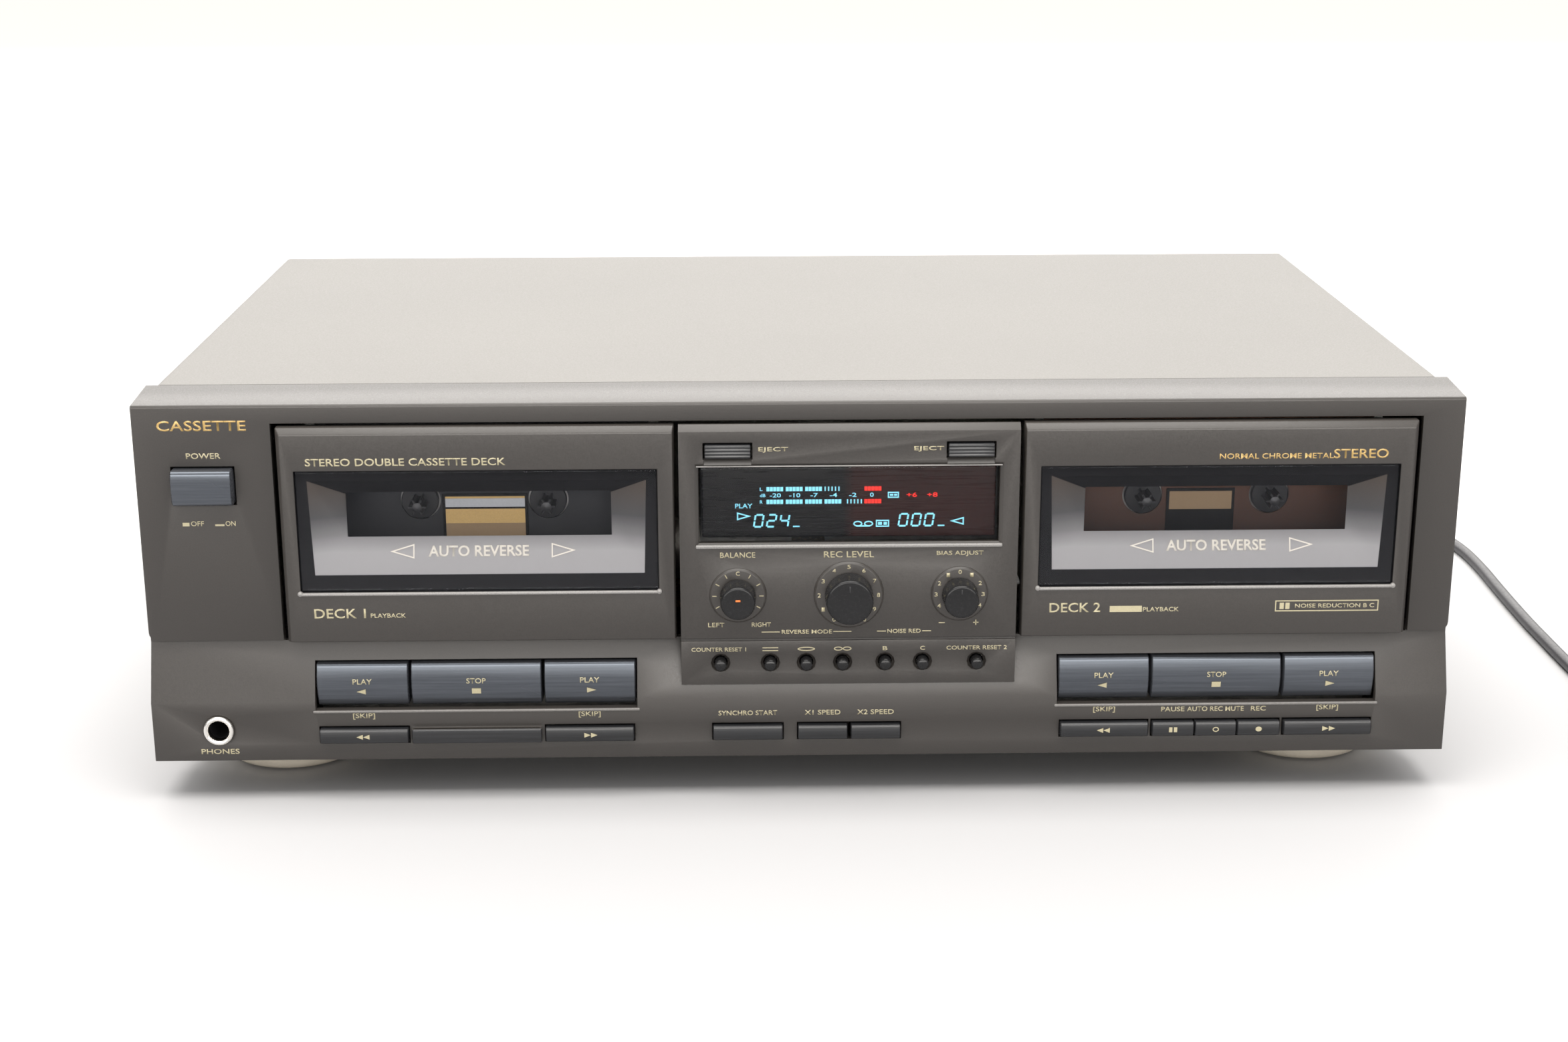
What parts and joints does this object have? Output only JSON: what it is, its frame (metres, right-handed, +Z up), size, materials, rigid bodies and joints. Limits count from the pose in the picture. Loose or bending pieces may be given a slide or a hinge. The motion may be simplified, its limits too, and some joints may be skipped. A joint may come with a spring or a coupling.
{
  "type": "cassette deck",
  "caption": "Full-width double auto-reverse cassette deck with two tilting compartments, dark display window, round level controls and wide transport keys.",
  "frame": {"origin": "bottom centre of the deck's own bounding box, without the mains lead, at the level the feet stand on", "axes": "+X to the right seen from the front, +Y to the back, +Z up"},
  "size_m": [0.5845, 0.3604, 0.136],
  "materials": {
    "panel_plastic": "fine warm grey moulded finish",
    "cover_paint": "satin baked paint",
    "key_plastic": "dark moulded, brushed look",
    "smoked_glass": "smoked clear acrylic",
    "zinc_steel": "zinc plated sheet",
    "black_plastic": "moulded black",
    "foot_metal": "champagne metallic",
    "nickel": "nickel plated",
    "board": "phenolic board",
    "core_steel": "laminated core",
    "cord_rubber": "flexible vinyl"
  },
  "bodies": {
    "case": {"chassis_tray": "zinc_steel", "front_panel": "panel_plastic", "top_cover": "cover_paint", "centre_panel": "panel_plastic", "display_window": "smoked_glass", "transport_plate_1": "zinc_steel", "transport_plate_2": "zinc_steel", "main_board": "board", "power_transformer": "core_steel", "phones_jack": "nickel", "line_jacks": "black_plastic", "foot_front_left": "foot_metal", "foot_front_right": "foot_metal", "foot_rear_left": "foot_metal", "foot_rear_right": "foot_metal", "strain_relief": "cord_rubber", "mains_cord": "cord_rubber", "cord_coil": "cord_rubber", "mains_plug": "cord_rubber"},
    "door_1_body": {"door_1": "panel_plastic", "door_window_1": "smoked_glass", "cassette_holder_1": "black_plastic"},
    "door_2_body": {"door_2": "panel_plastic", "door_window_2": "smoked_glass", "cassette_holder_2": "black_plastic"},
    "record_level_knob_body": {"record_level_knob": "key_plastic"},
    "balance_knob_body": {"balance_knob": "key_plastic"},
    "bias_knob_body": {"bias_knob": "key_plastic"},
    "power_key_body": {"power_key": "key_plastic"},
    "eject_key_1_body": {"eject_key_1": "key_plastic"},
    "eject_key_2_body": {"eject_key_2": "key_plastic"},
    "head_block_1_body": {"head_block_1": "nickel"},
    "head_block_2_body": {"head_block_2": "nickel"},
    "play_reverse_key_1_body": {"play_reverse_key_1": "key_plastic"},
    "stop_key_1_body": {"stop_key_1": "key_plastic"},
    "play_forward_key_1_body": {"play_forward_key_1": "key_plastic"},
    "rewind_key_1_body": {"rewind_key_1": "key_plastic"},
    "fast_forward_key_1_body": {"fast_forward_key_1": "key_plastic"},
    "play_reverse_key_2_body": {"play_reverse_key_2": "key_plastic"},
    "stop_key_2_body": {"stop_key_2": "key_plastic"},
    "play_forward_key_2_body": {"play_forward_key_2": "key_plastic"},
    "rewind_key_2_body": {"rewind_key_2": "key_plastic"},
    "fast_forward_key_2_body": {"fast_forward_key_2": "key_plastic"},
    "record_key_body": {"record_key": "key_plastic"},
    "pause_key_body": {"pause_key": "key_plastic"},
    "record_mute_key_body": {"record_mute_key": "key_plastic"},
    "synchro_key_body": {"synchro_key": "key_plastic"},
    "speed_1_key_body": {"speed_1_key": "key_plastic"},
    "speed_2_key_body": {"speed_2_key": "key_plastic"},
    "counter_reset_button_1_body": {"counter_reset_button_1": "key_plastic"},
    "counter_reset_button_2_body": {"counter_reset_button_2": "key_plastic"},
    "one_way_button_body": {"one_way_button": "key_plastic"},
    "both_sides_button_body": {"both_sides_button": "key_plastic"},
    "continuous_button_body": {"continuous_button": "key_plastic"},
    "noise_b_button_body": {"noise_b_button": "key_plastic"},
    "noise_c_button_body": {"noise_c_button": "key_plastic"},
    "spindle_1_left_body": {"spindle_1_left": "black_plastic"},
    "spindle_1_right_body": {"spindle_1_right": "black_plastic"},
    "spindle_2_left_body": {"spindle_2_left": "black_plastic"},
    "spindle_2_right_body": {"spindle_2_right": "black_plastic"}
  },
  "joints": [
    {"name": "door_1_tilt", "type": "hinge", "parent": "case", "child": "door_1_body", "pos_m": [-0.1051, -0.12455, 0.0574], "axis": [1, 0, 0], "range_deg": [0, 22]},
    {"name": "door_2_tilt", "type": "hinge", "parent": "case", "child": "door_2_body", "pos_m": [0.1358, -0.12455, 0.0574], "axis": [1, 0, 0], "range_deg": [0, 22]},
    {"name": "record_level_knob_turn", "type": "hinge", "parent": "case", "child": "record_level_knob_body", "pos_m": [0.01535, -0.12455, 0.0704], "axis": [0, 1, 0], "range_deg": [-150, 150]},
    {"name": "balance_knob_turn", "type": "hinge", "parent": "case", "child": "balance_knob_body", "pos_m": [-0.02095, -0.12455, 0.0704], "axis": [0, 1, 0], "range_deg": [-150, 150]},
    {"name": "bias_knob_turn", "type": "hinge", "parent": "case", "child": "bias_knob_body", "pos_m": [0.05165, -0.12455, 0.0704], "axis": [0, 1, 0], "range_deg": [-150, 150]},
    {"name": "power_key_push", "type": "slide", "parent": "case", "child": "power_key_body", "axis": [0, 1, 0], "range_m": [0, 0.0035], "stiffness_N_per_m": 150},
    {"name": "eject_key_1_push", "type": "slide", "parent": "case", "child": "eject_key_1_body", "axis": [0, 1, 0], "range_m": [0, 0.002], "stiffness_N_per_m": 150},
    {"name": "eject_key_2_push", "type": "slide", "parent": "case", "child": "eject_key_2_body", "axis": [0, 1, 0], "range_m": [0, 0.002], "stiffness_N_per_m": 150},
    {"name": "head_block_1_lift", "type": "slide", "parent": "case", "child": "head_block_1_body", "axis": [0, 0, 1], "range_m": [0, 0.006]},
    {"name": "head_block_2_lift", "type": "slide", "parent": "case", "child": "head_block_2_body", "axis": [0, 0, 1], "range_m": [0, 0.006]},
    {"name": "play_reverse_key_1_push", "type": "slide", "parent": "case", "child": "play_reverse_key_1_body", "axis": [0, 1, 0], "range_m": [0, 0.0015], "stiffness_N_per_m": 200},
    {"name": "stop_key_1_push", "type": "slide", "parent": "case", "child": "stop_key_1_body", "axis": [0, 1, 0], "range_m": [0, 0.0015], "stiffness_N_per_m": 200},
    {"name": "play_forward_key_1_push", "type": "slide", "parent": "case", "child": "play_forward_key_1_body", "axis": [0, 1, 0], "range_m": [0, 0.0015], "stiffness_N_per_m": 200},
    {"name": "rewind_key_1_push", "type": "slide", "parent": "case", "child": "rewind_key_1_body", "axis": [0, 1, 0], "range_m": [0, 0.0015], "stiffness_N_per_m": 150},
    {"name": "fast_forward_key_1_push", "type": "slide", "parent": "case", "child": "fast_forward_key_1_body", "axis": [0, 1, 0], "range_m": [0, 0.0015], "stiffness_N_per_m": 150},
    {"name": "play_reverse_key_2_push", "type": "slide", "parent": "case", "child": "play_reverse_key_2_body", "axis": [0, 1, 0], "range_m": [0, 0.0015], "stiffness_N_per_m": 200},
    {"name": "stop_key_2_push", "type": "slide", "parent": "case", "child": "stop_key_2_body", "axis": [0, 1, 0], "range_m": [0, 0.0015], "stiffness_N_per_m": 200},
    {"name": "play_forward_key_2_push", "type": "slide", "parent": "case", "child": "play_forward_key_2_body", "axis": [0, 1, 0], "range_m": [0, 0.0015], "stiffness_N_per_m": 200},
    {"name": "rewind_key_2_push", "type": "slide", "parent": "case", "child": "rewind_key_2_body", "axis": [0, 1, 0], "range_m": [0, 0.0015], "stiffness_N_per_m": 150},
    {"name": "fast_forward_key_2_push", "type": "slide", "parent": "case", "child": "fast_forward_key_2_body", "axis": [0, 1, 0], "range_m": [0, 0.0015], "stiffness_N_per_m": 150},
    {"name": "record_key_push", "type": "slide", "parent": "case", "child": "record_key_body", "axis": [0, 1, 0], "range_m": [0, 0.0015], "stiffness_N_per_m": 150},
    {"name": "pause_key_push", "type": "slide", "parent": "case", "child": "pause_key_body", "axis": [0, 1, 0], "range_m": [0, 0.0015], "stiffness_N_per_m": 150},
    {"name": "record_mute_key_push", "type": "slide", "parent": "case", "child": "record_mute_key_body", "axis": [0, 1, 0], "range_m": [0, 0.0015], "stiffness_N_per_m": 150},
    {"name": "synchro_key_push", "type": "slide", "parent": "case", "child": "synchro_key_body", "axis": [0, 1, 0], "range_m": [0, 0.0015], "stiffness_N_per_m": 150},
    {"name": "speed_1_key_push", "type": "slide", "parent": "case", "child": "speed_1_key_body", "axis": [0, 1, 0], "range_m": [0, 0.0015], "stiffness_N_per_m": 150},
    {"name": "speed_2_key_push", "type": "slide", "parent": "case", "child": "speed_2_key_body", "axis": [0, 1, 0], "range_m": [0, 0.0015], "stiffness_N_per_m": 150},
    {"name": "counter_reset_button_1_push", "type": "slide", "parent": "case", "child": "counter_reset_button_1_body", "axis": [0, 1, 0], "range_m": [0, 0.0018], "stiffness_N_per_m": 100},
    {"name": "counter_reset_button_2_push", "type": "slide", "parent": "case", "child": "counter_reset_button_2_body", "axis": [0, 1, 0], "range_m": [0, 0.0018], "stiffness_N_per_m": 100},
    {"name": "one_way_button_push", "type": "slide", "parent": "case", "child": "one_way_button_body", "axis": [0, 1, 0], "range_m": [0, 0.0018], "stiffness_N_per_m": 100},
    {"name": "both_sides_button_push", "type": "slide", "parent": "case", "child": "both_sides_button_body", "axis": [0, 1, 0], "range_m": [0, 0.0018], "stiffness_N_per_m": 100},
    {"name": "continuous_button_push", "type": "slide", "parent": "case", "child": "continuous_button_body", "axis": [0, 1, 0], "range_m": [0, 0.0018], "stiffness_N_per_m": 100},
    {"name": "noise_b_button_push", "type": "slide", "parent": "case", "child": "noise_b_button_body", "axis": [0, 1, 0], "range_m": [0, 0.0018], "stiffness_N_per_m": 100},
    {"name": "noise_c_button_push", "type": "slide", "parent": "case", "child": "noise_c_button_body", "axis": [0, 1, 0], "range_m": [0, 0.0018], "stiffness_N_per_m": 100},
    {"name": "spindle_1_left_turn", "type": "hinge", "parent": "case", "child": "spindle_1_left_body", "pos_m": [-0.12635, -0.12455, 0.097], "axis": [0, 1, 0], "continuous": true},
    {"name": "spindle_1_right_turn", "type": "hinge", "parent": "case", "child": "spindle_1_right_body", "pos_m": [-0.08385, -0.12455, 0.097], "axis": [0, 1, 0], "continuous": true},
    {"name": "spindle_2_left_turn", "type": "hinge", "parent": "case", "child": "spindle_2_left_body", "pos_m": [0.11455, -0.12455, 0.097], "axis": [0, 1, 0], "continuous": true},
    {"name": "spindle_2_right_turn", "type": "hinge", "parent": "case", "child": "spindle_2_right_body", "pos_m": [0.15705, -0.12455, 0.097], "axis": [0, 1, 0], "continuous": true}
  ]
}
